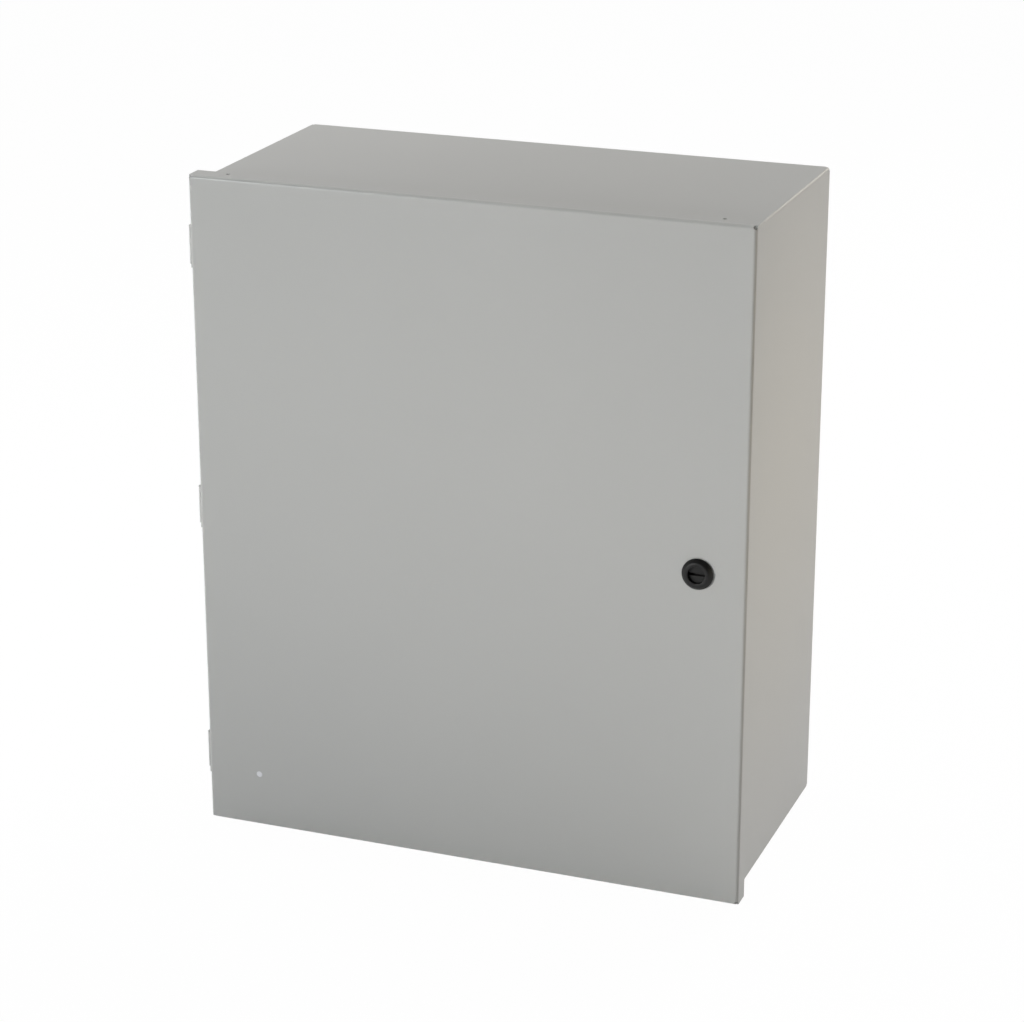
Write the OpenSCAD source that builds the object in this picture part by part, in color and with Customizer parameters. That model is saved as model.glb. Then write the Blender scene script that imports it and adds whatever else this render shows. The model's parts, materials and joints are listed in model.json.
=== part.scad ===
// Wall-mounted sheet-steel electrical enclosure with a hinged, overlapping door and a quarter-turn latch.
// Millimetres. +X is right seen from the front, +Y points into the wall, +Z is up.
// The origin is on the wall plane, in the middle of the four mounting holes.

/* [Enclosure body] */
// Width of the body outside
body_w = 508; // [480:0.1:540]
// Height of the body outside
body_h = 609.6; // [590:0.1:640]
// Depth from the door's front face to the wall
overall_d = 254; // [200:0.5:320]
// Thickness of the folded steel sheet
sheet_t = 1.9; // [1.5:0.1:2.2]
// Outside radius of a fold
fold_r = 3; // [2.5:0.1:3.5]
// Radius of the relief where the folds meet at a back corner
body_relief_r = 2.2; // [1.8:0.1:2.4]
// Radius to which the welded corner edges of the body are ground
corner_r = 2.4; // [2:0.1:2.8]

/* [Front opening] */
// Width of the flange that is folded inward round the opening
flange_w = 18; // [16:0.5:20]
// Height of the lip that stands forward from the flange
lip_h = 6; // [5:0.1:6.5]
// Corner radius of the opening
opening_r = 6; // [5:0.5:8]

/* [Door] */
// Radius of the relief where the folds meet at a front corner
door_relief_r = 1.8; // [1.2:0.1:1.8]
// Door overhang past each side of the body
door_over_x = 5.2; // [4.5:0.1:6.5]
// Door overhang past the top and the bottom of the body
door_over_z = 5.6; // [4.5:0.1:6.5]
// Depth of the door's folded edge
door_edge_d = 20; // [19:0.1:20.5]
// Diameter of the hanging holes in the door's top edge
hang_hole_d = 3.7; // [2:0.1:4]
// Distance of a hanging hole from the end of the top edge
hang_hole_inset = 31.9; // [20:0.1:60]
// Depth of the hanging holes behind the door's front face
hang_hole_depth = 15.1; // [12:0.1:17.5]

/* [Gasket] */
// Width of the gasket bead
gasket_w = 10; // [8:0.5:10]
// Height of the gasket bead
gasket_t = 6; // [5:0.1:6.5]

/* [Hinges] */
// Height of one hinge
hinge_len = 35; // [32:1:60]
// Distance of the outer hinges from the middle one
hinge_pitch = 245.6; // [200:0.1:260]
// Distance of the middle hinge below the middle of the door
hinge_drop = 3; // [0:0.1:10]
// Outside radius of the knuckles
knuckle_r = 5; // [4.6:0.1:5.2]
// Radius of the knuckles' bore
knuckle_bore_r = 2.5; // [2.2:0.1:2.8]
// Thickness of the hinge leaves
leaf_t = 2.2; // [2:0.1:2.4]
// Length of the leaf that is welded to the body's side
frame_leaf_d = 27; // [20:1:40]
// Depth of the hinge axis behind the door's front face
hinge_axis_d = 19.6; // [19:0.1:20]

/* [Latch] */
// Distance of the latch axis from the door's free edge
latch_inset = 43.9; // [42.5:0.1:44]
// Diameter of the latch housing's round head
latch_head_d = 28.2; // [27:0.1:30]
// Height of the latch housing's head
latch_head_h = 4; // [3.5:0.1:5]
// Diameter of the slotted plug
plug_d = 15.4; // [15:0.1:16]
// Width of the slot in the plug
slot_w = 2.6; // [1.5:0.1:3]
// Reach of the cam from the latch axis
cam_reach = 30; // [27:0.5:32]
// Width of the cam
cam_w = 16; // [15:0.5:16]

/* [Wall mounting] */
// Distance between the mounting holes across
mount_pitch_x = 457.2; // [450:0.1:465]
// Distance between the mounting holes up
mount_pitch_z = 558.8; // [550:0.1:570]
// Diameter of the mounting holes
mount_hole_d = 11.1; // [9:0.1:12]

/* [Mounting panel] */
// Width of the mounting panel inside
panel_w = 431.8; // [400:0.1:435]
// Height of the mounting panel inside
panel_h = 533.4; // [500:0.1:536]
// Stand-off of the panel from the back wall
panel_gap = 12; // [10:0.5:20]
// Distance of the panel's studs from its edges
panel_stud_inset = 9.5; // [9:0.1:20]

/* [Hidden] */
$fn = 64;

// Finishes
grey_paint = "#aeafac";
white_paint = "#e9e9e4";
zinc = "#c2c5c8";
black_plastic = "#262626";
black_rubber = "#33332f";

// How far a cut runs past the face that it starts from
cut = 1;

// Reliefs, with their inset as a share of their radius, and how far outside the faces a ground edge is drawn,
// so that it meets them in a faint line
relief_inset = 0.7;
body_relief_depth = 2 * body_relief_r;
door_relief_depth = 1.5 * door_relief_r;
corner_meet = 0.1;

// Door sizes, and the depths of the stack behind its front face
front_y = -overall_d;
door_w = body_w + 2 * door_over_x;
door_h = body_h + 2 * door_over_z;
seal_gap = 0.2;
lip_y = front_y + sheet_t + gasket_t + seal_gap;
flange_y = lip_y + lip_h;
body_d = -flange_y;
opening_w = body_w - 2 * flange_w;
opening_h = body_h - 2 * flange_w;
gasket_inner_r = 4;

// Hinges
knuckle_clear = 0.3;
hinge_x = -door_w / 2 - knuckle_clear - knuckle_r;
hinge_y = front_y + hinge_axis_d;
knuckle_gap = 0.3;
knuckle_swing = 0.5;
knuckle_room = knuckle_r + knuckle_swing;
middle_knuckle = hinge_len / 2;
pin_room = 0.05;
pin_r = knuckle_bore_r - pin_room;
pin_head_r = 3.7;
pin_head_h = 2.4;
leaf_bend_r = 1;
door_leaf_d = 15;

// Latch, with depths measured from the door's front face
latch_x = door_w / 2 - latch_inset;
seal_t = 0.8;
seal_inset = 0.8;
head_top = -seal_t - latch_head_h;
head_bevel = 3;
head_edge_h = 1;
plug_r = plug_d / 2;
plug_room = 0.08;
plug_sunk = 3;
plug_head_end = 3;
shaft_r = 5.92;
stem_r = 11;
stem_flats = 20;
stem_hole_room = 0.25;
cam_gap = 0.4;
cam_t = 3;
cam_front = flange_y + sheet_t + cam_gap - front_y;
cam_back = cam_front + cam_t;
stem_end = cam_front - cam_gap;
square_w = 8;
square_room = 0.05;
square_end = cam_back - 0.2;
stop_gap = 0.4;
stop_w = 1.5;
stop_l = 4;
stop_start = 0.5;
slot_d = 3.4;
o_ring_r = 0.65;
o_ring_fit = 0.02;
groove_room = 0.4;
o_ring_depth = 8;
nut_af = 27;
nut_t = 5;
washer_t = 1.2;
washer_r = 6.2;
washer_room = 0.3;
screw_r = 2.5;
screw_grip = 9;
screw_head_r = 4.5;
screw_head_h = 3.2;
screw_chamfer = 0.6;
socket_r = 2.3;
socket_d = 1.8;

// Mounting panel
panel_y = -2 * sheet_t - panel_gap;
panel_corner_r = 6;
panel_hole_room = 0.5;
stud_pitch_x = panel_w - 2 * panel_stud_inset;
stud_pitch_z = panel_h - 2 * panel_stud_inset;

// Studs and nuts
stud_r = 3.9;
stud_len = 22;
collar_r = 7;
panel_nut_af = 13;
panel_nut_t = 8;
panel_nut_flange = 2;
ground_r = 3.1;
ground_len = 20;
ground_collar_w = 1.2;
ground_collar_h = 1;
ground_nut_af = 11.1;
ground_nut_t = 5.5;
ground_nut_flange = 1;
body_ground_at = [-234, -230];
door_stud_at = [-208, -258.4];
door_stud_r = 2.4;
door_stud_head_r = 3;
door_stud_len = 14;
door_nut_af = 9.5;
door_nut_t = 4.4;
door_nut_flange = 1.5;
nut_face_h = 1;
stud_chamfer = 0.8;
thread_room = 0.05;

// Rectangle of w by h with round corners, centred
module rounded_rect(w, h, r) {
    square([w, h - 2 * r], center = true);
    square([w - 2 * r, h], center = true);
    for (x = [-1, 1], y = [-1, 1])
        translate([x * (w / 2 - r), y * (h / 2 - r)])
            circle(r);
}

// Rectangle of w by d that starts at y = 0 with round corners and ends square
module tray_profile(w, d, r) {
    translate([-w / 2, r])
        square([w, d - r]);
    translate([-w / 2 + r, 0])
        square([w - 2 * r, d]);
    for (x = [-1, 1])
        translate([x * (w / 2 - r), r])
            circle(r);
}

// Draws a flat shape in the XZ plane and gives it a thickness from depth y towards the wall
module plate(y, thickness) {
    translate([0, y + thickness, 0])
        rotate([90, 0, 0])
            linear_extrude(thickness)
                children();
}

// Solid whose outline is one profile seen from above and another seen from the side
module folded_block(w, h) {
    intersection() {
        translate([0, 0, -h / 2])
            linear_extrude(h)
                children(0);
        translate([-w / 2, 0, 0])
            rotate([90, 0, 90])
                linear_extrude(w)
                    rotate(-90)
                        mirror([1, 0])
                            children(1);
    }
}

// Block with the folds of its front face rounded, from y = 0 to y = d
module folded_tray(w, h, d, r) {
    folded_block(w, h) {
        tray_profile(w, d, r);
        tray_profile(h, d, r);
    }
}

// Small round relief at the four corners of a folded face w by h, cut from y into the sheet
module corner_reliefs(w, h, y, into, r, depth) {
    inset = relief_inset * r;
    for (x = [-1, 1], z = [-1, 1])
        translate([x * (w / 2 - inset), y - into * cut, z * (h / 2 - inset)])
            rotate([-90 * into, 0, 0])
                cylinder(r = r, h = depth + cut);
}

// Repeats its children at the four corners of a rectangle in the XZ plane
module at_corners(w, h) {
    for (x = [-1, 1], z = [-1, 1])
        translate([x * w / 2, 0, z * h / 2])
            children();
}

// Turns a shape made along Z so that it runs towards the wall from depth y
module into_depth(x, y, z) {
    translate([x, y, z])
        rotate([-90, 0, 0])
            children();
}

// Hexagon nut with a chamfered crown and a washer face, along Z from 0
module hex_nut(af, thickness, bore_r, face_r) {
    hex_r = af / 2 / cos(30);
    crown = hex_r - af / 2;
    difference() {
        union() {
            cylinder(r = face_r, h = nut_face_h);
            intersection() {
                translate([0, 0, nut_face_h])
                    cylinder(r = hex_r, h = thickness - nut_face_h, $fn = 6);
                rotate_extrude()
                    polygon([
                        [0, 0], [hex_r, 0], [hex_r, thickness - crown],
                        [af / 2 - crown / 2, thickness], [0, thickness]
                    ]);
            }
        }
        translate([0, 0, -cut])
            cylinder(r = bore_r, h = thickness + 2 * cut);
    }
}

// Round stud with a chamfered tip, along Z from 0
module stud(r, length) {
    cylinder(r = r, h = length - stud_chamfer);
    translate([0, 0, length - stud_chamfer])
        cylinder(r1 = r, r2 = r - stud_chamfer, h = stud_chamfer);
}

// Folded shell with ground welds along its corner edges: back, sides, the inward flange and the rolled lip
module body_shell() {
    color(grey_paint)
        difference() {
            union() {
                difference() {
                    intersection() {
                        mirror([0, 1, 0])
                            folded_tray(body_w, body_h, body_d, fold_r);
                        plate(-body_d - cut, body_d + 2 * cut)
                            rounded_rect(body_w + 2 * corner_meet, body_h + 2 * corner_meet, corner_r);
                    }
                    translate([0, -sheet_t, 0])
                        mirror([0, 1, 0])
                            folded_tray(body_w - 2 * sheet_t, body_h - 2 * sheet_t,
                                        body_d - 2 * sheet_t, fold_r - sheet_t);
                }
                plate(lip_y, lip_h + sheet_t)
                    rounded_rect(opening_w + 2 * sheet_t, opening_h + 2 * sheet_t, opening_r + sheet_t);
            }
            plate(lip_y - cut, lip_h + sheet_t + 2 * cut)
                rounded_rect(opening_w, opening_h, opening_r);
            at_corners(mount_pitch_x, mount_pitch_z)
                into_depth(0, -sheet_t - cut, 0)
                    cylinder(d = mount_hole_d, h = sheet_t + 2 * cut);
            corner_reliefs(body_w, body_h, 0, -1, body_relief_r, body_relief_depth);
        }
}

// Flat steel plate that carries the equipment, on the four collar studs
module mounting_panel() {
    color(white_paint)
        difference() {
            plate(panel_y, sheet_t)
                rounded_rect(panel_w, panel_h, panel_corner_r);
            at_corners(stud_pitch_x, stud_pitch_z)
                into_depth(0, panel_y - cut, 0)
                    cylinder(r = stud_r + panel_hole_room, h = sheet_t + 2 * cut);
        }
}

// Collar studs welded to the back wall: the panel rests on the collars
module panel_studs() {
    color(zinc)
        at_corners(stud_pitch_x, stud_pitch_z)
            translate([0, -sheet_t, 0])
                rotate([90, 0, 0]) {
                    cylinder(r = collar_r, h = panel_gap);
                    stud(stud_r, panel_gap + stud_len);
                }
}

// Flange nuts that hold the panel on its studs
module panel_nuts() {
    color(zinc)
        at_corners(stud_pitch_x, stud_pitch_z)
            translate([0, panel_y, 0])
                rotate([90, 0, 0])
                    hex_nut(panel_nut_af, panel_nut_t, stud_r + thread_room,
                            panel_nut_af / 2 + panel_nut_flange);
}

// Earth stud welded to the back wall beside the panel
module body_ground_stud() {
    color(zinc)
        translate([body_ground_at[0], -sheet_t, body_ground_at[1]])
            rotate([90, 0, 0]) {
                cylinder(r = ground_r + ground_collar_w, h = ground_collar_h);
                stud(ground_r, ground_len);
            }
}

// Nut on the body's earth stud
module body_ground_nut() {
    color(zinc)
        translate([body_ground_at[0], -sheet_t - ground_collar_h, body_ground_at[1]])
            rotate([90, 0, 0])
                hex_nut(ground_nut_af, ground_nut_t, ground_r + thread_room,
                        ground_nut_af / 2 + ground_nut_flange);
}

// Plan of the leaf on the body: round the pin, across behind the door's edge and back along the side
module frame_leaf_plan() {
    side = door_over_x + knuckle_clear + knuckle_r;
    web_front = knuckle_r - leaf_t;
    bend = [side - leaf_t - leaf_bend_r, knuckle_r + leaf_bend_r];
    circle(knuckle_r);
    translate([0, web_front])
        square([bend[0], leaf_t]);
    translate([side - leaf_t, bend[1]])
        square([leaf_t, frame_leaf_d - bend[1]]);
    intersection() {
        translate(bend)
            difference() {
                circle(leaf_bend_r + leaf_t);
                circle(leaf_bend_r);
            }
        translate([bend[0], web_front])
            square([leaf_bend_r + leaf_t, leaf_bend_r + leaf_t]);
    }
}

// Plan of the leaf on the door: round the pin and forward along the outside of the door's edge
module door_leaf_plan() {
    circle(knuckle_r);
    translate([knuckle_r + knuckle_clear - leaf_t, -door_leaf_d])
        square([leaf_t, door_leaf_d]);
}

// Puts a hinge piece on the hinge axis, z above or below the middle hinge
module at_hinge(z) {
    translate([hinge_x, hinge_y, z - hinge_drop])
        children();
}

// Room for a knuckle of the other leaf, length long and centred at height z
module knuckle_space(z, length) {
    translate([0, 0, z - length / 2])
        cylinder(r = knuckle_room, h = length);
}

// Bore for the hinge pin through the whole hinge
module pin_bore() {
    translate([0, 0, -hinge_len])
        cylinder(r = knuckle_bore_r, h = 2 * hinge_len);
}

// Leaf welded to the body, with the upper and the lower knuckle
module hinge_frame_leaf(z) {
    color(grey_paint)
        at_hinge(z)
            difference() {
                translate([0, 0, -hinge_len / 2])
                    linear_extrude(hinge_len)
                        frame_leaf_plan();
                knuckle_space(0, middle_knuckle + knuckle_gap);
                pin_bore();
            }
}

// Leaf welded to the door's edge, with the middle knuckle
module hinge_door_leaf(z) {
    outer = (hinge_len - middle_knuckle) / 2;
    color(grey_paint)
        at_hinge(z)
            difference() {
                translate([0, 0, -hinge_len / 2])
                    linear_extrude(hinge_len)
                        door_leaf_plan();
                for (end = [-1, 1])
                    knuckle_space(end * hinge_len / 2, 2 * outer + knuckle_gap);
                pin_bore();
            }
}

// Hinge pin with a low domed head that stops it on the upper knuckle
module hinge_pin(z) {
    dome_r = (pin_head_r * pin_head_r + pin_head_h * pin_head_h) / (2 * pin_head_h);
    color(grey_paint)
        at_hinge(z) {
            translate([0, 0, -hinge_len / 2])
                cylinder(r = pin_r, h = hinge_len);
            translate([0, 0, hinge_len / 2])
                intersection() {
                    cylinder(r = pin_head_r + cut, h = pin_head_h);
                    translate([0, 0, pin_head_h - dome_r])
                        sphere(dome_r);
                }
        }
}

// Outline of the hole for the latch: round with two flats, so that the housing can't turn
module latch_stem_outline(room) {
    intersection() {
        circle(stem_r + room);
        square([2 * (stem_r + room), stem_flats + 2 * room], center = true);
    }
}

// Folded door with its edges turned back over the body
module door_panel() {
    color(grey_paint)
        difference() {
            translate([0, front_y, 0])
                difference() {
                    folded_tray(door_w, door_h, door_edge_d, fold_r);
                    translate([0, sheet_t, 0])
                        folded_tray(door_w - 2 * sheet_t, door_h - 2 * sheet_t,
                                    door_edge_d, fold_r - sheet_t);
                }
            into_depth(latch_x, front_y - cut, 0)
                linear_extrude(sheet_t + 2 * cut)
                    latch_stem_outline(stem_hole_room);
            into_depth(door_stud_at[0], front_y - cut, door_stud_at[1])
                cylinder(r = door_stud_head_r + thread_room, h = sheet_t + 2 * cut);
            for (x = [-1, 1])
                translate([
                    x * (door_w / 2 - hang_hole_inset), front_y + hang_hole_depth,
                    door_h / 2 - sheet_t - cut
                ])
                    cylinder(d = hang_hole_d, h = sheet_t + 2 * cut);
            corner_reliefs(door_w, door_h, front_y, 1, door_relief_r, door_relief_depth);
        }
}

// Cross section of the gasket: a flat-footed bead with a domed crown, along X with its height in Y
module gasket_section() {
    shoulder = gasket_t / 2;
    dome_rise = gasket_t - shoulder;
    dome_r = (gasket_w * gasket_w / 4 + dome_rise * dome_rise) / (2 * dome_rise);
    intersection() {
        translate([-gasket_w / 2, 0])
            square([gasket_w, gasket_t]);
        translate([0, gasket_t - dome_r])
            circle(dome_r);
    }
}

// One closed loop of soft gasket on the door, where the lip meets it
module door_gasket() {
    loop_w = opening_w + sheet_t;
    loop_h = opening_h + sheet_t;
    bend_r = gasket_w / 2 + gasket_inner_r;
    color(black_rubber)
        translate([0, front_y + sheet_t, 0]) {
            for (end = [0, 180])
                rotate([0, end, 0]) {
                    translate([loop_w / 2, 0, -loop_h / 2 + bend_r])
                        linear_extrude(loop_h - 2 * bend_r)
                            gasket_section();
                    translate([-loop_w / 2 + bend_r, 0, loop_h / 2])
                        rotate([0, 90, 0])
                            linear_extrude(loop_w - 2 * bend_r)
                                gasket_section();
                }
            for (turn = [0 : 3])
                translate([
                    (turn == 0 || turn == 3 ? 1 : -1) * (loop_w / 2 - bend_r), 0,
                    (turn < 2 ? -1 : 1) * (loop_h / 2 - bend_r)
                ])
                    rotate([-90, 0, 0])
                        rotate(turn * 90)
                            rotate_extrude(angle = 90)
                                translate([bend_r, 0])
                                    gasket_section();
        }
}

// Flush-headed earth stud pressed into the door: its head shows as a small disc on the front
module door_ground_stud() {
    color(zinc)
        into_depth(door_stud_at[0], front_y, door_stud_at[1]) {
            cylinder(r = door_stud_head_r, h = sheet_t);
            stud(door_stud_r, sheet_t + door_stud_len);
        }
}

// Nut on the door's earth stud
module door_ground_nut() {
    color(zinc)
        into_depth(door_stud_at[0], front_y + sheet_t, door_stud_at[1])
            hex_nut(door_nut_af, door_nut_t, door_stud_r + thread_room, door_nut_af / 2 + door_nut_flange);
}

// Puts a latch piece on the latch axis, with Z as depth behind the door's front face
module at_latch() {
    into_depth(latch_x, front_y, 0)
        children();
}

// Lug on the end of the housing that stops the cam's arm at one end of its quarter turn
module cam_stop() {
    translate([-cam_w / 2 - stop_gap - stop_w, -stop_start - stop_l, stem_end])
        cube([stop_w, stop_l, cam_t]);
}

// Moulded latch housing: bevelled round head, keyed stem and the two stops for the cam
module latch_housing() {
    head_r = latch_head_d / 2;
    color(black_plastic)
        at_latch()
            difference() {
                union() {
                    rotate_extrude()
                        polygon([
                            [0, -seal_t], [head_r, -seal_t], [head_r, -seal_t - head_edge_h],
                            [head_r - head_bevel, head_top], [0, head_top]
                        ]);
                    translate([0, 0, -seal_t])
                        linear_extrude(stem_end + seal_t)
                            latch_stem_outline(0);
                    cam_stop();
                    mirror([1, 1, 0])
                        cam_stop();
                }
                translate([0, 0, head_top - cut])
                    cylinder(r = plug_r + plug_room, h = plug_head_end - head_top + cut);
                cylinder(r = shaft_r + plug_room, h = stem_end + cam_t + cut);
            }
}

// Flat ring between the latch's head and the door
module latch_seal() {
    color(black_rubber)
        at_latch()
            translate([0, 0, -seal_t])
                difference() {
                    cylinder(r = latch_head_d / 2 - seal_inset, h = seal_t);
                    translate([0, 0, -cut])
                        cylinder(r = stem_r + thread_room, h = seal_t + 2 * cut);
                }
}

// Nut that clamps the housing against the inside of the door
module latch_nut() {
    color(zinc)
        at_latch()
            translate([0, 0, sheet_t])
                rotate(30)
                    hex_nut(nut_af, nut_t, stem_r + thread_room, nut_af / 2);
}

// Turning plug: slotted head, shaft with a seal groove, and the square that drives the cam
module latch_plug() {
    groove_w = 2 * o_ring_r + groove_room;
    color(black_plastic)
        at_latch()
            difference() {
                union() {
                    translate([0, 0, head_top + plug_sunk])
                        cylinder(r = plug_r, h = plug_head_end - head_top - plug_sunk);
                    cylinder(r = shaft_r, h = cam_front);
                    translate([-square_w / 2, -square_w / 2, cam_front - cut])
                        cube([square_w, square_w, square_end - cam_front + cut]);
                }
                translate([-plug_r - cut, -slot_w / 2, head_top + plug_sunk - cut])
                    cube([2 * plug_r + 2 * cut, slot_w, slot_d + cut]);
                translate([0, 0, o_ring_depth - groove_w / 2])
                    difference() {
                        cylinder(r = shaft_r + cut, h = groove_w);
                        translate([0, 0, -cut])
                            cylinder(r = shaft_r - 2 * o_ring_r, h = groove_w + 2 * cut);
                    }
                translate([0, 0, square_end - screw_grip - cut])
                    cylinder(r = screw_r + thread_room, h = screw_grip + 2 * cut);
            }
}

// Seal ring in the plug's groove
module plug_o_ring() {
    color(black_rubber)
        at_latch()
            translate([0, 0, o_ring_depth])
                rotate_extrude()
                    translate([shaft_r - o_ring_r + o_ring_fit, 0])
                        circle(o_ring_r);
}

// Outline of the cam: round hub, and an arm with round corners towards +Y
module cam_outline() {
    tip_r = 4;
    difference() {
        union() {
            circle(cam_w / 2);
            translate([-cam_w / 2, 0])
                square([cam_w, cam_reach - tip_r]);
            translate([-cam_w / 2 + tip_r, 0])
                square([cam_w - 2 * tip_r, cam_reach]);
            for (x = [-1, 1])
                translate([x * (cam_w / 2 - tip_r), cam_reach - tip_r])
                    circle(tip_r);
        }
        square(square_w + 2 * square_room, center = true);
    }
}

// Steel cam that swings in behind the body's flange. It points up when the latch is open.
// The leading edge has a ramp on the side that meets the flange.
module latch_cam() {
    ramp_w = 4;
    ramp_d = 1.2;
    color(zinc)
        at_latch()
            rotate(180)
                difference() {
                    translate([0, 0, cam_front])
                        linear_extrude(cam_t)
                            cam_outline();
                    translate([-cam_w / 2, cam_w, cam_front])
                        rotate([0, atan2(ramp_d, ramp_w), 0])
                            translate([-ramp_w, 0, -2 * ramp_d])
                                cube([3 * ramp_w, cam_reach, 3 * ramp_d]);
                }
}

// Washer that holds the cam on the plug's square
module cam_washer() {
    color(zinc)
        at_latch()
            translate([0, 0, cam_back])
                difference() {
                    cylinder(r = washer_r, h = washer_t);
                    translate([0, 0, -cut])
                        cylinder(r = screw_r + washer_room, h = washer_t + 2 * cut);
                }
}

// Screw that clamps the cam, with a hexagon socket in its head
module cam_screw() {
    seat = cam_back + washer_t;
    color(zinc)
        at_latch()
            difference() {
                union() {
                    translate([0, 0, square_end - screw_grip])
                        cylinder(r = screw_r, h = seat - square_end + screw_grip);
                    translate([0, 0, seat])
                        cylinder(r = screw_head_r, h = screw_head_h - screw_chamfer);
                    translate([0, 0, seat + screw_head_h - screw_chamfer])
                        cylinder(r1 = screw_head_r, r2 = screw_head_r - screw_chamfer, h = screw_chamfer);
                }
                translate([0, 0, seat + screw_head_h - socket_d])
                    cylinder(r = socket_r, h = socket_d + cut, $fn = 6);
            }
}

body_shell();
mounting_panel();
panel_studs();
panel_nuts();
body_ground_stud();
body_ground_nut();
hinge_frame_leaf(hinge_pitch);  // hinge_frame_leaf_top
hinge_frame_leaf(0);  // hinge_frame_leaf_middle
hinge_frame_leaf(-hinge_pitch);  // hinge_frame_leaf_bottom
hinge_pin(hinge_pitch);  // hinge_pin_top
hinge_pin(0);  // hinge_pin_middle
hinge_pin(-hinge_pitch);  // hinge_pin_bottom
door_panel();
door_gasket();
hinge_door_leaf(hinge_pitch);  // hinge_door_leaf_top
hinge_door_leaf(0);  // hinge_door_leaf_middle
hinge_door_leaf(-hinge_pitch);  // hinge_door_leaf_bottom
door_ground_stud();
door_ground_nut();
latch_housing();
latch_seal();
latch_nut();
latch_plug();
plug_o_ring();
latch_cam();
cam_washer();
cam_screw();
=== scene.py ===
import json
import math

import bmesh
import bpy
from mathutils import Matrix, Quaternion, Vector

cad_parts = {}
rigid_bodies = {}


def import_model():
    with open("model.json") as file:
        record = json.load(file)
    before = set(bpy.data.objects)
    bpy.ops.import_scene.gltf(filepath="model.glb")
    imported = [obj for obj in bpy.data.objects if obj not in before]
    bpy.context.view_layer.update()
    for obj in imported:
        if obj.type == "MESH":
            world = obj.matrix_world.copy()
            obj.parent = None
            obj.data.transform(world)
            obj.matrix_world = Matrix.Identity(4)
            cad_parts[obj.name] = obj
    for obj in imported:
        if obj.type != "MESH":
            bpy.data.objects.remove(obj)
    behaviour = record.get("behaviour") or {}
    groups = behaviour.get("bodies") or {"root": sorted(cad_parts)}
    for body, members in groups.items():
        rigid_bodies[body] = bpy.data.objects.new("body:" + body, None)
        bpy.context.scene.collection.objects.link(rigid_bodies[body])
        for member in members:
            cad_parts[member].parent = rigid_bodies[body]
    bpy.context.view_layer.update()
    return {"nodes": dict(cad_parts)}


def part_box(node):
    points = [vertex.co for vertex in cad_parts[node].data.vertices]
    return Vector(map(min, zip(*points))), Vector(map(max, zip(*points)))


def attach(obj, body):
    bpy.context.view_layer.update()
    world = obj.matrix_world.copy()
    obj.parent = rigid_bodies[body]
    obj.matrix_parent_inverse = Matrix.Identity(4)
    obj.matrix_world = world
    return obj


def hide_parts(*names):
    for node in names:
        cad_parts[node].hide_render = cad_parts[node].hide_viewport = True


for leftover in list(bpy.data.objects):  # a fresh Blender may hold a start-up cube, lamp and camera
    bpy.data.objects.remove(leftover)

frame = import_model()
nodes = frame["nodes"]
scene = bpy.context.scene
mm = 0.001

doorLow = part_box("door_panel")[0]
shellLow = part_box("body_shell")[0]


# camera: the place and lens found from the straight edges of the door and the box in the photograph

viewpoint = {
    "place": (0.9005, -2.5206, 0.9074),
    "heading": 20.684,     # degrees left of straight on to the door
    "tilt": -19.789,       # degrees, looking down
    "lens": 103.542,       # mm
    "sensor": 36,          # mm wide
    "farthest": 400,       # metres
}


def addCamera(name, settings):
    camera = bpy.data.objects.new(name, bpy.data.cameras.new(name))
    scene.collection.objects.link(camera)
    camera.data.sensor_width = settings["sensor"]
    camera.data.lens = settings["lens"]
    camera.data.clip_end = settings["farthest"]
    camera.location = settings["place"]
    level = 90  # an unturned camera looks straight down
    camera.rotation_euler = (math.radians(level + settings["tilt"]), 0, math.radians(settings["heading"]))
    scene.camera = camera


addCamera("viewCamera", viewpoint)
scene.view_settings.view_transform = "Standard"
print("camera set")


# helpers for shader trees

def addNode(tree, kind, **settings):
    made = tree.nodes.new(kind)
    for key, value in settings.items():
        setattr(made, key, value)
    return made


def setInputs(node, values):
    for key, value in values.items():
        node.inputs[key].default_value = value
    return node


def newGroup(name, inputs, outputs):
    group = bpy.data.node_groups.new(name, "ShaderNodeTree")
    for label, kind in inputs:
        group.interface.new_socket(label, in_out="INPUT", socket_type=kind)
    for label, kind in outputs:
        group.interface.new_socket(label, in_out="OUTPUT", socket_type=kind)
    return group, group.nodes.new("NodeGroupInput"), group.nodes.new("NodeGroupOutput")


finishInputs = [
    ("Vector", "NodeSocketVector"),
    ("Grain Scale", "NodeSocketFloat"),
    ("Drift Scale", "NodeSocketFloat"),
    ("Light Tone", "NodeSocketColor"),
    ("Dark Tone", "NodeSocketColor"),
    ("Roughness Low", "NodeSocketFloat"),
    ("Roughness High", "NodeSocketFloat"),
]
finishOutputs = [("Color", "NodeSocketColor"), ("Roughness", "NodeSocketFloat"), ("Height", "NodeSocketFloat")]
mixDark, mixLight, mixResult = 6, 7, 2  # the colour sockets of the Mix node


def wireFinish(group, given, out, mask, height):
    tone = addNode(group, "ShaderNodeMix", data_type="RGBA")
    gloss = addNode(group, "ShaderNodeMapRange")
    group.links.new(mask, tone.inputs["Factor"])
    group.links.new(given.outputs["Dark Tone"], tone.inputs[mixDark])
    group.links.new(given.outputs["Light Tone"], tone.inputs[mixLight])
    group.links.new(mask, gloss.inputs["Value"])
    group.links.new(given.outputs["Roughness Low"], gloss.inputs["To Min"])
    group.links.new(given.outputs["Roughness High"], gloss.inputs["To Max"])
    group.links.new(tone.outputs[mixResult], out.inputs["Color"])
    group.links.new(gloss.outputs["Result"], out.inputs["Roughness"])
    group.links.new(height, out.inputs["Height"])


def noise(group, given, scaleName, detail, roughness):
    texture = setInputs(addNode(group, "ShaderNodeTexNoise"), {"Detail": detail, "Roughness": roughness})
    group.links.new(given.outputs["Vector"], texture.inputs["Vector"])
    group.links.new(given.outputs[scaleName], texture.inputs["Scale"])
    return texture.outputs["Fac"]


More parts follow.
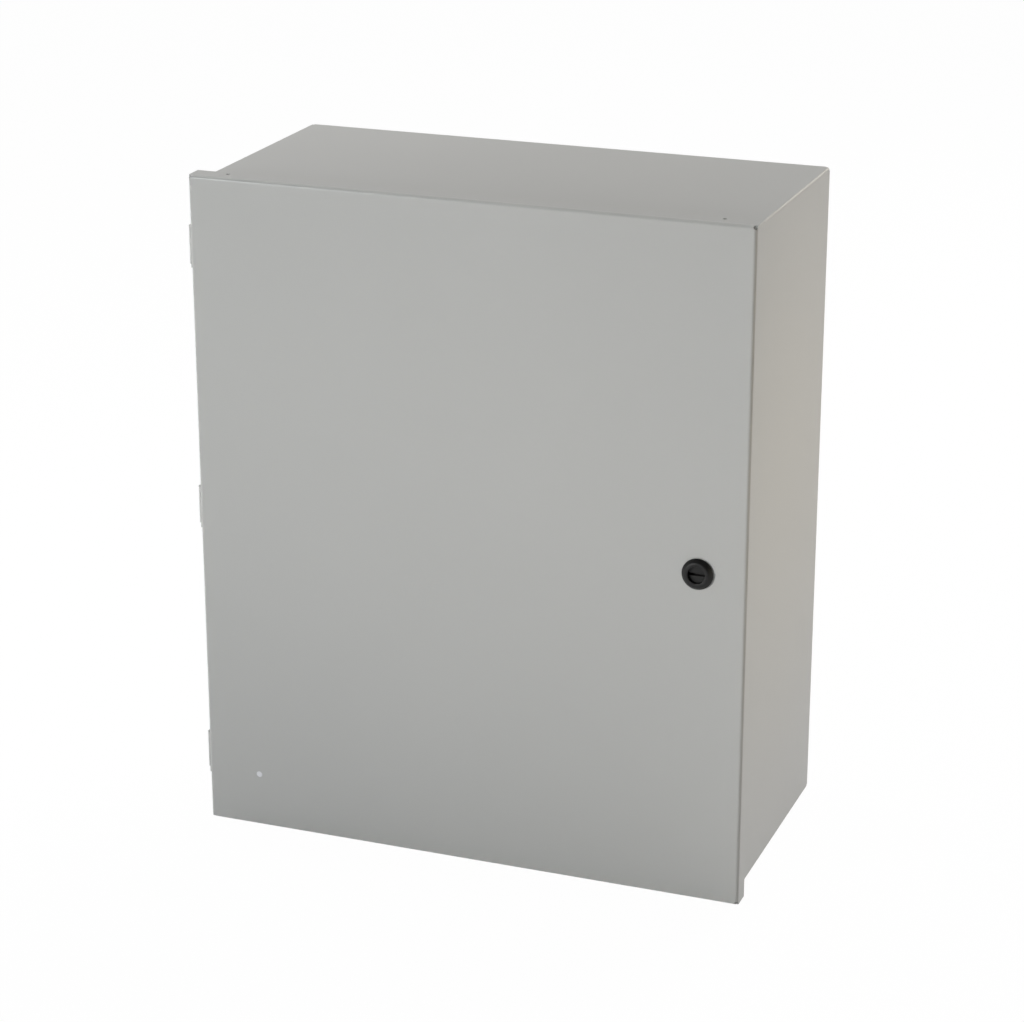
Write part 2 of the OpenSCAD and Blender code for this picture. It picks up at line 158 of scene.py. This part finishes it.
def buildPeel():
    # powder coat: the orange peel of the cured film, and a slow drift of tone over the sheet
    group, given, out = newGroup("orangePeel", finishInputs, finishOutputs)
    peel = noise(group, given, "Grain Scale", detail=2.0, roughness=0.45)
    drift = noise(group, given, "Drift Scale", detail=3.0, roughness=0.55)
    wireFinish(group, given, out, drift, peel)
    return group


def buildPlating():
    # zinc: cloudy passivation with fine drawn scratches round the turned and rolled parts
    group, given, out = newGroup("platedSteel", finishInputs, finishOutputs)
    cloud = noise(group, given, "Drift Scale", detail=4.0, roughness=0.6)
    scratch = noise(group, given, "Grain Scale", detail=5.0, roughness=0.7)
    wireFinish(group, given, out, cloud, scratch)
    return group


def buildMouldGrain():
    # moulded parts: a fine spark-eroded grain with shinier high spots
    group, given, out = newGroup("mouldGrain", finishInputs, finishOutputs)
    grain = setInputs(addNode(group, "ShaderNodeTexVoronoi", feature="SMOOTH_F1"), {"Smoothness": 0.6})
    group.links.new(given.outputs["Vector"], grain.inputs["Vector"])
    group.links.new(given.outputs["Grain Scale"], grain.inputs["Scale"])
    drift = noise(group, given, "Drift Scale", detail=3.0, roughness=0.5)
    wireFinish(group, given, out, drift, grain.outputs["Distance"])
    return group


finishGroups = {"peel": buildPeel(), "plating": buildPlating(), "grain": buildMouldGrain()}


def finish(name, settings):
    material = bpy.data.materials.new(name)
    material.use_nodes = True
    tree = material.node_tree
    surface = tree.nodes["Principled BSDF"]
    place = addNode(tree, "ShaderNodeTexCoord")
    effect = addNode(tree, "ShaderNodeGroup", node_tree=finishGroups[settings["effect"]])
    bump = addNode(tree, "ShaderNodeBump")
    setInputs(bump, {"Strength": 1.0, "Distance": settings["relief"] * mm})
    setInputs(effect, {
        "Grain Scale": 1 / (settings["grain"] * mm),
        "Drift Scale": 1 / (settings["drift"] * mm),
        "Light Tone": (*settings["light"], 1),
        "Dark Tone": (*settings["dark"], 1),
        "Roughness Low": settings["gloss"][0],
        "Roughness High": settings["gloss"][1],
    })
    setInputs(surface, {"Metallic": settings["metal"], "Specular IOR Level": settings["specular"]})
    tree.links.new(place.outputs["Object"], effect.inputs["Vector"])
    tree.links.new(effect.outputs["Color"], surface.inputs["Base Color"])
    tree.links.new(effect.outputs["Roughness"], surface.inputs["Roughness"])
    tree.links.new(effect.outputs["Height"], bump.inputs["Height"])
    tree.links.new(bump.outputs["Normal"], surface.inputs["Normal"])
    return material


# finishes: tones are linear, grain, drift and relief in millimetres

greyPaint = {
    "effect": "peel", "light": (0.438, 0.438, 0.428), "dark": (0.424, 0.424, 0.414),
    "gloss": (0.26, 0.32), "metal": 0.0, "specular": 0.5, "grain": 1.6, "drift": 180, "relief": 0.03,
}
panelPaint = {
    "effect": "peel", "light": (0.82, 0.82, 0.79), "dark": (0.78, 0.78, 0.745),
    "gloss": (0.38, 0.46), "metal": 0.0, "specular": 0.5, "grain": 1.4, "drift": 140, "relief": 0.03,
}
zincPlate = {
    "effect": "plating", "light": (0.66, 0.67, 0.69), "dark": (0.47, 0.48, 0.50),
    "gloss": (0.24, 0.42), "metal": 1.0, "specular": 0.5, "grain": 0.25, "drift": 5, "relief": 0.008,
}
pinSteel = {
    "effect": "plating", "light": (0.56, 0.56, 0.55), "dark": (0.40, 0.40, 0.39),
    "gloss": (0.3, 0.46), "metal": 1.0, "specular": 0.5, "grain": 0.2, "drift": 4, "relief": 0.01,
}
latchPlastic = {
    "effect": "grain", "light": (0.0062, 0.0062, 0.0062), "dark": (0.0045, 0.0045, 0.0045),
    "gloss": (0.40, 0.5), "metal": 0.0, "specular": 0.27, "grain": 0.35, "drift": 6, "relief": 0.012,
}
sealRubber = {
    "effect": "grain", "light": (0.018, 0.018, 0.017), "dark": (0.011, 0.011, 0.011),
    "gloss": (0.62, 0.78), "metal": 0.0, "specular": 0.3, "grain": 0.5, "drift": 8, "relief": 0.02,
}
foamSkin = {
    "effect": "grain", "light": (0.034, 0.034, 0.033), "dark": (0.017, 0.017, 0.017),
    "gloss": (0.74, 0.9), "metal": 0.0, "specular": 0.25, "grain": 0.9, "drift": 14, "relief": 0.16,
}
finishes = {
    "grey_paint": finish("greyPaint", greyPaint),
    "white_paint": finish("panelPaint", panelPaint),
    "zinc_steel": finish("zincPlate", zincPlate),
    "hinge_pin": finish("pinSteel", pinSteel),
    "black_plastic": finish("latchPlastic", latchPlastic),
    "black_rubber": finish("sealRubber", sealRubber),
    "gasket_foam": finish("foamSkin", foamSkin),
}
for node in nodes.values():
    for place, made in enumerate(list(node.data.materials)):
        node.data.materials[place] = finishes[made.name.split(".")[0]]
print("finishes made:", ", ".join(sorted(finishes)))


# soft edges: cut sheet and turned metal never keep a knife edge under paint or plating

softEdges = {
    "body_shell": 0.35, "door_panel": 0.35, "mounting_panel": 0.35,
    "hinge_frame_leaf_top": 0.3, "hinge_frame_leaf_middle": 0.3, "hinge_frame_leaf_bottom": 0.3,
    "hinge_door_leaf_top": 0.3, "hinge_door_leaf_middle": 0.3, "hinge_door_leaf_bottom": 0.3,
    "panel_nuts": 0.2, "body_ground_nut": 0.15, "door_ground_nut": 0.15, "latch_nut": 0.3,
    "latch_plug": 0.25, "latch_cam": 0.3, "cam_washer": 0.15, "cam_screw": 0.2,
}
softBevel = {"segments": 2, "overAngle": 40}  # only edges that turn by more degrees than this


def soften(node, width, settings):
    bevel = node.modifiers.new("softEdge", "BEVEL")
    bevel.width = width * mm
    bevel.segments = settings["segments"]
    bevel.limit_method = "ANGLE"
    bevel.angle_limit = math.radians(settings["overAngle"])
    bevel.harden_normals = True
    bevel.use_clamp_overlap = True


for nodeName, edgeWidth in softEdges.items():
    soften(nodes[nodeName], edgeWidth, softBevel)
print("edges softened on", len(softEdges), "nodes")


# helpers for pieces, whose settings are in millimetres

sharpAngle = math.radians(38)  # edges that turn more than this stay crisp


def newPiece(name, mesh, body, slot, stands=()):
    data = bpy.data.meshes.new(name)
    bmesh.ops.recalc_face_normals(mesh, faces=mesh.faces)
    mesh.to_mesh(data)
    mesh.free()
    data.materials.append(finishes[slot])
    piece = bpy.data.objects.new(name, data)
    scene.collection.objects.link(piece)
    for face in data.polygons:
        face.use_smooth = True
    data.set_sharp_from_angle(angle=sharpAngle)
    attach(piece, body)
    if stands:
        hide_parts(*stands)


def bridge(mesh, near, far):
    for step in range(len(near)):
        after = (step + 1) % len(near)
        mesh.faces.new((near[step], near[after], far[after], far[step]))


def boxMiddle(low, high):
    return (low.x + high.x) / 2, (low.z + high.z) / 2


def turned(mesh, middle, profile, steps):
    # a shape turned about the depth axis at middle (x, z); profile is (radius, depth)
    rings = []
    for radius, depth in profile:
        ring = []
        for step in range(steps):
            angle = 2 * math.pi * step / steps
            across, high = radius * math.cos(angle), radius * math.sin(angle)
            ring.append(mesh.verts.new((middle[0] + across, depth, middle[1] + high)))
        rings.append(ring)
    for near, far in zip(rings, rings[1:]):
        bridge(mesh, near, far)
    return rings


threadForm = {
    "rows": (0.0, 0.0, 0.5, 1.0, 1.0, 0.5),  # height over one pitch, 0 at the root and 1 at the crest
    "fadeIn": 0.7, "fadeOut": 0.9,           # pitches that the thread takes to rise and to end
    "before": 2,                             # pitches that the rows start ahead, to fill the first turn
}


def threaded(mesh, middle, start, end, settings, flats=math.inf, closed=True):
    # a rolled thread along the depth axis from start to its chamfered end; flats limits its height
    rows, steps = threadForm["rows"], settings["threadSteps"]
    crest, root, pitch = settings["crest"] * mm, settings["root"] * mm, settings["pitch"] * mm
    fadeIn, fadeOut = threadForm["fadeIn"] * pitch, threadForm["fadeOut"] * pitch
    tip = settings["tip"] * mm
    length = abs(end - start)
    way = 1 if end > start else -1
    made = {}

    def corner(column, row):
        along = (row / len(rows) + column / steps) * pitch
        along = max(0.0, min(length, along))
        key = (column, "start") if along == 0 else (column, "end") if along == length else (column, row)
        if key not in made:
            fade = max(0.0, min(1.0, along / fadeIn, (length - along) / fadeOut))
            radius = root + (crest - root) * rows[row % len(rows)] * fade
            radius = min(radius, tip + (length - along))
            angle = 2 * math.pi * column / steps
            across, high = radius * math.cos(angle), radius * math.sin(angle)
            high = max(-flats, min(flats, high))
            made[key] = mesh.verts.new((middle[0] + across, start + way * along, middle[1] + high))
        return made[key]

    lastRow = math.ceil(length / pitch * len(rows)) + len(rows)
    for column in range(steps):
        onward = (column + 1) % steps
        jump = len(rows) if onward == 0 else 0
        for row in range(-threadForm["before"] * len(rows), lastRow):
            loop = [
                corner(column, row), corner(onward, row + jump),
                corner(onward, row + jump + 1), corner(column, row + 1),
            ]
            loop = [v for place, v in enumerate(loop) if v not in loop[:place]]
            if len(loop) > 2 and mesh.faces.get(loop) is None:
                mesh.faces.new(loop)
    if closed:
        mesh.faces.new([made[(column, "end")] for column in range(steps)])


def weldRoot(settings, radius, base):
    # the fillet that a stud welder leaves round a stud
    weld = settings["weld"] * mm
    return [(radius + weld * out, base - weld * along) for out, along in settings["weldSteps"]]


# collar studs: a welded root, a collar that stands the panel off, and a rolled thread

collarStud = {
    "collar": 7.0, "chamfer": 0.5, "steps": 48,
    "weld": 1.4, "weldSteps": ((1.0, 0.0), (0.45, 0.25), (0.12, 0.6), (0.0, 1.0)),
    "crest": 3.9, "root": 3.25, "pitch": 1.25, "tip": 2.9, "threadSteps": 36,
}


def buildPanelStuds(settings):
    mesh = bmesh.new()
    low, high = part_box("panel_studs")
    base, shoulder, end = high.y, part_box("mounting_panel")[1].y, low.y
    collar, chamfer, root = settings["collar"] * mm, settings["chamfer"] * mm, settings["root"] * mm
    across, up = (low.x + collar, high.x - collar), (low.z + collar, high.z - collar)
    for middle in [(x, z) for x in across for z in up]:
        rings = turned(mesh, middle, weldRoot(settings, collar, base) + [
            (collar, shoulder + chamfer),
            (collar - chamfer, shoulder),
            (root, shoulder),
        ], settings["steps"])
        mesh.faces.new(rings[0])
        threaded(mesh, middle, shoulder, end, settings)
    newPiece("panel_studs_threaded", mesh, "enclosure", "zinc_steel", ["panel_studs"])


buildPanelStuds(collarStud)


# earth studs: a plain welded one in the box, and one on the door whose flush head shows in front

bodyEarth = {
    "weld": 1.1, "weldSteps": ((1.0, 0.0), (0.5, 0.25), (0.1, 0.7)), "steps": 36,
    "crest": 3.1, "root": 2.6, "pitch": 1.0, "tip": 2.25, "threadSteps": 36,
}
doorEarth = {
    "head": 3.0, "flat": 1.35, "ease": 0.25, "steps": 36,
    "crest": 2.4, "root": 1.95, "pitch": 0.8, "tip": 1.6, "threadSteps": 36,
}


def buildBodyEarth(settings):
    mesh = bmesh.new()
    low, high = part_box("body_ground_stud")
    middle, base = boxMiddle(low, high), high.y
    weldTop = base - settings["weld"] * mm
    profile = weldRoot(settings, settings["crest"] * mm, base) + [(settings["root"] * mm, weldTop)]
    rings = turned(mesh, middle, profile, settings["steps"])
    mesh.faces.new(rings[0])
    threaded(mesh, middle, weldTop, low.y, settings)
    newPiece("body_earth_threaded", mesh, "enclosure", "zinc_steel", ["body_ground_stud"])


def buildDoorEarth(settings):
    mesh = bmesh.new()
    low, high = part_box("door_ground_stud")
    middle = boxMiddle(low, high)
    front, inside = low.y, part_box("door_gasket")[0].y
    head, ease = settings["head"] * mm, settings["ease"] * mm
    rings = turned(mesh, middle, [
        (settings["flat"] * mm, front),
        (head - ease, front),
        (head, front + ease),
        (head, inside),
        (settings["root"] * mm, inside),
    ], settings["steps"])
    mesh.faces.new(rings[0])
    threaded(mesh, middle, inside, high.y, settings)
    newPiece("door_earth_threaded", mesh, "door", "zinc_steel", ["door_ground_stud"])


buildBodyEarth(bodyEarth)
buildDoorEarth(doorEarth)
print("studs threaded")


# latch housing: bevelled head over a seal, a keyed stem with a moulded thread, and the two stops for the cam

latchHousing = {
    "under": -0.8, "edge": -1.8, "face": -4.8, "pocketFloor": 3.0,  # depths from the door's front face
    "bevel": 3.0, "pocket": 7.78, "bore": 6.0, "steps": 96,
    "pocketLip": ((0.0, 0.35), (0.12, 0.1), (0.4, 0.0)),    # outward, and deeper than the face
    "faceEdge": ((-0.45, 0.0), (0.0, 0.14), (0.4, 0.46)),   # outward, and deeper than the face
    "headEdge": ((0.3, -0.36), (0.06, 0.0), (0.0, 0.3)),    # inward, and deeper than the edge
    "stemEnd": 16.0, "flats": 10.0,
    "crest": 11.0, "root": 10.35, "pitch": 1.5, "tip": 10.2, "threadSteps": 96,
    "stopStart": 15.4, "stopEnd": 19.0, "stopEase": 0.2,
    "stops": (((-9.9, -8.4), (0.5, 4.5)), ((0.5, 4.5), (-9.9, -8.4))),
}


def easedBlock(mesh, low, high, ease):
    made = bmesh.ops.create_cube(mesh, size=1.0)["verts"]
    for vert in made:
        for axis in range(3):
            vert.co[axis] = low[axis] if vert.co[axis] < 0 else high[axis]
    edges = list({edge for vert in made for edge in vert.link_edges})
    bmesh.ops.bevel(mesh, geom=edges, offset=ease, segments=2, affect="EDGES", profile=0.5)


def buildLatchHousing(settings):
    mesh = bmesh.new()
    low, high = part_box("latch_housing")
    middle = boxMiddle(low, high)

    def depth(value):
        return doorLow.y + value * mm

    head = (high.x - low.x) / 2
    ring = head - settings["bevel"] * mm
    pocket, bore = settings["pocket"] * mm, settings["bore"] * mm
    face, edge = settings["face"], settings["edge"]
    profile = [
        (settings["tip"] * mm, depth(settings["stemEnd"])),
        (bore, depth(settings["stemEnd"])),
        (bore, depth(settings["pocketFloor"])),
        (pocket, depth(settings["pocketFloor"])),
    ]
    profile += [(pocket + out * mm, depth(face + down)) for out, down in settings["pocketLip"]]
    profile += [(ring + out * mm, depth(face + down)) for out, down in settings["faceEdge"]]
    profile += [(head - inward * mm, depth(edge + down)) for inward, down in settings["headEdge"]]
    profile += [(head, depth(settings["under"])), (settings["root"] * mm, depth(settings["under"]))]
    turned(mesh, middle, profile, settings["steps"])
    threaded(mesh, middle, depth(settings["under"]), depth(settings["stemEnd"]), settings,
             flats=settings["flats"] * mm, closed=False)
    for across, up in settings["stops"]:
        near = (middle[0] + across[0] * mm, depth(settings["stopStart"]), middle[1] + up[0] * mm)
        far = (middle[0] + across[1] * mm, depth(settings["stopEnd"]), middle[1] + up[1] * mm)
        easedBlock(mesh, near, far, settings["stopEase"] * mm)
    newPiece("latch_housing_moulded", mesh, "door", "black_plastic", ["latch_housing"])


buildLatchHousing(latchHousing)
print("latch housing moulded")


# door seal: a foamed bead laid in one pass, slightly wavy, with a lump where its two ends meet

foamBead = {
    "corner": 9.0, "width": 10.0, "height": 5.9,
    "step": 5.0, "cornerSteps": 8, "profileSteps": 14,
    "sideFullness": 0.72, "topFullness": 0.8,                # powers, lower is fuller
    "wave": 0.22, "meanWave": 0.5,
    "waves": ((0.2, 23, 0), (0.17, 61, 1), (0.13, 97, 2)),   # share, waves round the loop, start
    "narrowing": 0.05, "sway": 0.012, "swayTurns": 41,       # shares of the width
    "joinAt": 0.62, "joinLength": 16.0, "joinDip": 0.5, "dipShare": 0.22,
}


def beadPath(settings):
    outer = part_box("door_gasket")[1] / mm
    halfWide, halfHigh = outer.x - settings["width"] / 2, outer.z - settings["width"] / 2
    corner, cornerSteps = settings["corner"], settings["cornerSteps"]
    points = []
    turns = [((1, 1), 0), ((-1, 1), 90), ((-1, -1), 180), ((1, -1), 270)]
    for number, ((signX, signZ), startAngle) in enumerate(turns):
        centre = Vector((signX * (halfWide - corner), 0, signZ * (halfHigh - corner)))
        for part in range(cornerSteps + 1):
            angle = math.radians(startAngle + 90 * part / cornerSteps)
            out = Vector((math.cos(angle), 0, math.sin(angle)))
            points.append((centre + out * corner, out))
        nextX, nextZ = turns[(number + 1) % len(turns)][0]
        here, out = points[-1]
        onward = Vector((nextX * (halfWide - corner), 0, nextZ * (halfHigh - corner))) + out * corner
        count = max(2, round((onward - here).length / settings["step"]))
        for part in range(1, count):
            points.append((here.lerp(onward, part / count), out))
    return points


def buildGasket(settings):
    mesh = bmesh.new()
    path = beadPath(settings)
    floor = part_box("door_gasket")[0].y
    half = settings["width"] / 2
    profile = []
    for part in range(settings["profileSteps"] + 1):
        angle = math.pi * part / settings["profileSteps"]
        side, rise = math.cos(angle), math.sin(angle)
        reach = math.copysign(abs(side) ** settings["sideFullness"], side)
        profile.append((half * reach, rise ** settings["topFullness"]))
    total = len(path)
    rings = []
    for number, (point, out) in enumerate(path):
        along = 2 * math.pi * number / total
        ripple = sum(share * math.sin(rate * along + first) for share, rate, first in settings["waves"])
        wave = settings["wave"] * (settings["meanWave"] + ripple)
        gap = abs(number / total - settings["joinAt"]) * total * settings["step"]
        lump = math.exp(-(gap / settings["joinLength"]) ** 2)
        dip = settings["joinDip"] * math.exp(-(gap / (settings["joinLength"] * settings["dipShare"])) ** 2)
        tall = settings["height"] - wave * (1 - lump) - dip
        sway = settings["sway"] * math.sin(settings["swayTurns"] * along)
        wide = 1 - settings["narrowing"] * (1 - lump) - sway
        ring = []
        for side, rise in profile:
            place = point + out * (side * wide)
            ring.append(mesh.verts.new((place.x * mm, floor + tall * rise * mm, place.z * mm)))
        rings.append(ring)
    for near, far in zip(rings, rings[1:] + rings[:1]):
        bridge(mesh, near, far)
    newPiece("door_gasket_foamed", mesh, "door", "gasket_foam", ["door_gasket"])


buildGasket(foamBead)
print("gasket foamed")


# hinge welds: short rippled fillets round each leaf, under the paint

hingeWelds = {
    "hinges": ("top", "middle", "bottom"),
    "leg": 1.7, "ripple": 1.5, "ringsPerRipple": 6, "fewestRings": 8, "arcSteps": 5,
    "mean": 0.9, "swell": 0.14, "endShare": 0.25, "buried": 0.3, "hollow": 0.16,
    "boxRun": 18.6, "doorRun": 10.1, "doorInset": 1.8, "endGap": 4.0,
}


def weldBead(mesh, start, end, sideA, sideB, settings):
    # a fillet in the corner between the two sides, with a ripple for each drop of weld
    start, end, sideA, sideB = Vector(start), Vector(end), Vector(sideA), Vector(sideB)
    leg, ripple, endShare = settings["leg"], settings["ripple"], settings["endShare"]
    length = (end - start).length
    count = max(settings["fewestRings"], round(length / ripple * settings["ringsPerRipple"]))
    rings = []
    for number in range(count + 1):
        along = number / count
        fromEnd = min(along, 1 - along) * length
        swell = settings["mean"] + settings["swell"] * abs(math.sin(math.pi * along * length / ripple))
        size = leg * swell * min(1.0, endShare + math.sqrt(max(0.0, fromEnd / leg)) * (1 - endShare))
        point = start.lerp(end, along)
        ring = [mesh.verts.new((point - (sideA + sideB) * settings["buried"]) * mm)]
        for part in range(settings["arcSteps"] + 1):
            angle = math.pi / 2 * part / settings["arcSteps"]
            bulge = 1 - settings["hollow"] * math.sin(2 * angle)
            reach = sideA * math.cos(angle) * size * bulge + sideB * math.sin(angle) * size * bulge
            ring.append(mesh.verts.new((point + reach) * mm))
        rings.append(ring)
    for near, far in zip(rings, rings[1:]):
        bridge(mesh, near, far)
    mesh.faces.new(rings[0])
    mesh.faces.new(rings[-1])


def buildHingeWelds(settings):
    box, door = bmesh.new(), bmesh.new()
    gap = settings["endGap"]
    outward, back = (-1, 0, 0), (0, 1, 0)
    side, edge = shellLow.x / mm, doorLow.x / mm
    for hinge in settings["hinges"]:
        leafLow, leafHigh = (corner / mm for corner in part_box("hinge_frame_leaf_" + hinge))
        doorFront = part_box("hinge_door_leaf_" + hinge)[0].y / mm + settings["doorInset"]
        leafBack = leafHigh.y
        weldBead(box, (side, leafBack, leafLow.z + gap), (side, leafBack, leafHigh.z - gap),
                 outward, back, settings)
        for level, way in ((leafHigh.z, 1), (leafLow.z, -1)):
            weldBead(box, (side, leafBack - settings["boxRun"], level), (side, leafBack - gap / 2, level),
                     outward, (0, 0, way), settings)
            weldBead(door, (edge, doorFront, level), (edge, doorFront + settings["doorRun"], level),
                     outward, (0, 0, way), settings)
    newPiece("hinge_box_welds", box, "enclosure", "grey_paint")
    newPiece("hinge_door_welds", door, "door", "grey_paint")


buildHingeWelds(hingeWelds)
print("hinges welded")


# stage: a pale floor under soft lamps; what the camera, metal and glass see of it is mostly plain white

floorSettings = {
    "drop": 0.6,           # mm under the door's lower edge
    "size": 300.0,         # metres, so that low views meet its far edge near eye level
    "color": (0.9, 0.9, 0.9),
    "roughness": 0.9,
    "whiteShare": 0.985,   # the rest keeps the shadow
}


def seenDirectly(tree):
    path = addNode(tree, "ShaderNodeLightPath")  # 1 for rays from the camera, a mirror or glass
    mirrored = addNode(tree, "ShaderNodeMath", operation="ADD", use_clamp=True)
    either = addNode(tree, "ShaderNodeMath", operation="ADD", use_clamp=True)
    tree.links.new(path.outputs["Is Camera Ray"], mirrored.inputs[0])
    tree.links.new(path.outputs["Is Glossy Ray"], mirrored.inputs[1])
    tree.links.new(mirrored.outputs[0], either.inputs[0])
    tree.links.new(path.outputs["Is Transmission Ray"], either.inputs[1])
    return either.outputs[0]


def addFloor(settings):
    mesh = bpy.data.meshes.new("floor")
    half = settings["size"] / 2
    level = doorLow.z - settings["drop"] * mm
    corners = [(-half, -half, level), (half, -half, level), (half, half, level), (-half, half, level)]
    mesh.from_pydata(corners, [], [(0, 1, 2, 3)])
    floor = bpy.data.objects.new("floor", mesh)
    scene.collection.objects.link(floor)
    material = bpy.data.materials.new("floorPaper")
    material.use_nodes = True
    tree = material.node_tree
    surface = setInputs(tree.nodes["Principled BSDF"], {
        "Base Color": (*settings["color"], 1), "Roughness": settings["roughness"], "Specular IOR Level": 0.0,
    })
    white = setInputs(addNode(tree, "ShaderNodeEmission"), {"Strength": 1.0})
    share = addNode(tree, "ShaderNodeMath", operation="MULTIPLY")
    share.inputs[1].default_value = settings["whiteShare"]
    blend = addNode(tree, "ShaderNodeMixShader")
    tree.links.new(seenDirectly(tree), share.inputs[0])
    tree.links.new(share.outputs[0], blend.inputs["Fac"])
    tree.links.new(surface.outputs[0], blend.inputs[1])
    tree.links.new(white.outputs[0], blend.inputs[2])
    tree.links.new(blend.outputs[0], tree.nodes["Material Output"].inputs["Surface"])
    mesh.materials.append(material)


addFloor(floorSettings)

worldSettings = {"color": (1.0, 1.0, 1.0), "light": 0.1}


def setWorld(settings):
    world = bpy.data.worlds.new("studio")
    world.use_nodes = True
    scene.world = world
    background = world.node_tree.nodes["Background"]
    setInputs(background, {"Color": (*settings["color"], 1), "Strength": settings["light"]})


setWorld(worldSettings)

lampCentre = Vector((0, -0.13, 0))
lampClear = 0.02   # metres between a lamp's lower edge and the level of the door's
openSpread = 180   # degrees, a softbox without a grid

# turn is degrees right of straight in front, rise is degrees up, and roll turns a lamp about its own axis
lamps = {
    "cornerBox": {
        "turn": -30, "rise": 15, "away": 2.7, "size": 0.4,
        "power": 19.2, "color": (0.9, 0.96, 1.0),
    },
    "frontBox": {
        "turn": -33, "rise": 6, "away": 3.0, "size": 1.2,
        "power": 2.6, "color": (1.0, 0.98, 0.93),
        "spread": 20, "aim": (0.44, -0.25, 0.14), "roll": -36,
    },
    "backRight": {
        "turn": 166, "rise": 52, "away": 3.0, "size": 1.4,
        "power": 70.0, "color": (1.0, 0.99, 0.96),
    },
    "backLeft": {
        "turn": 258, "rise": 40, "away": 1.6, "size": 0.8,
        "power": 13.5, "color": (0.98, 0.98, 1.0),
    },
    "backLow": {
        "turn": 165, "rise": 14, "away": 3.0, "size": 0.8,
        "power": 7.0, "color": (1.0, 0.97, 0.9),
    },
    "sideBox": {
        "turn": 90, "rise": 3, "away": 1.7, "size": 0.5,
        "power": 0.27, "color": (1.0, 0.82, 0.5),
        "spread": 30, "aim": (0.25, -0.12, 0.09),
    },
}


def addLamp(name, settings):
    lamp = bpy.data.lights.new(name, "AREA")
    lamp.shape = "RECTANGLE"
    lamp.size = lamp.size_y = settings["size"]
    lamp.energy = settings["power"]
    lamp.color = settings["color"]
    lamp.spread = math.radians(settings.get("spread", openSpread))
    holder = bpy.data.objects.new(name, lamp)
    scene.collection.objects.link(holder)
    turn, rise = math.radians(settings["turn"]), math.radians(settings["rise"])
    away = Vector((math.sin(turn) * math.cos(rise), -math.cos(turn) * math.cos(rise), math.sin(rise)))
    place = lampCentre + away * settings["away"]
    place.z = max(place.z, doorLow.z + settings["size"] / 2 + lampClear)
    holder.location = place
    look = (Vector(settings.get("aim", lampCentre)) - place).to_track_quat("-Z", "Y")
    roll = Quaternion((0, 0, 1), math.radians(settings.get("roll", 0)))
    holder.rotation_euler = (look @ roll).to_euler()


for lampName, lampSettings in lamps.items():
    addLamp(lampName, lampSettings)
print("stage lit by", len(lamps), "lamps")
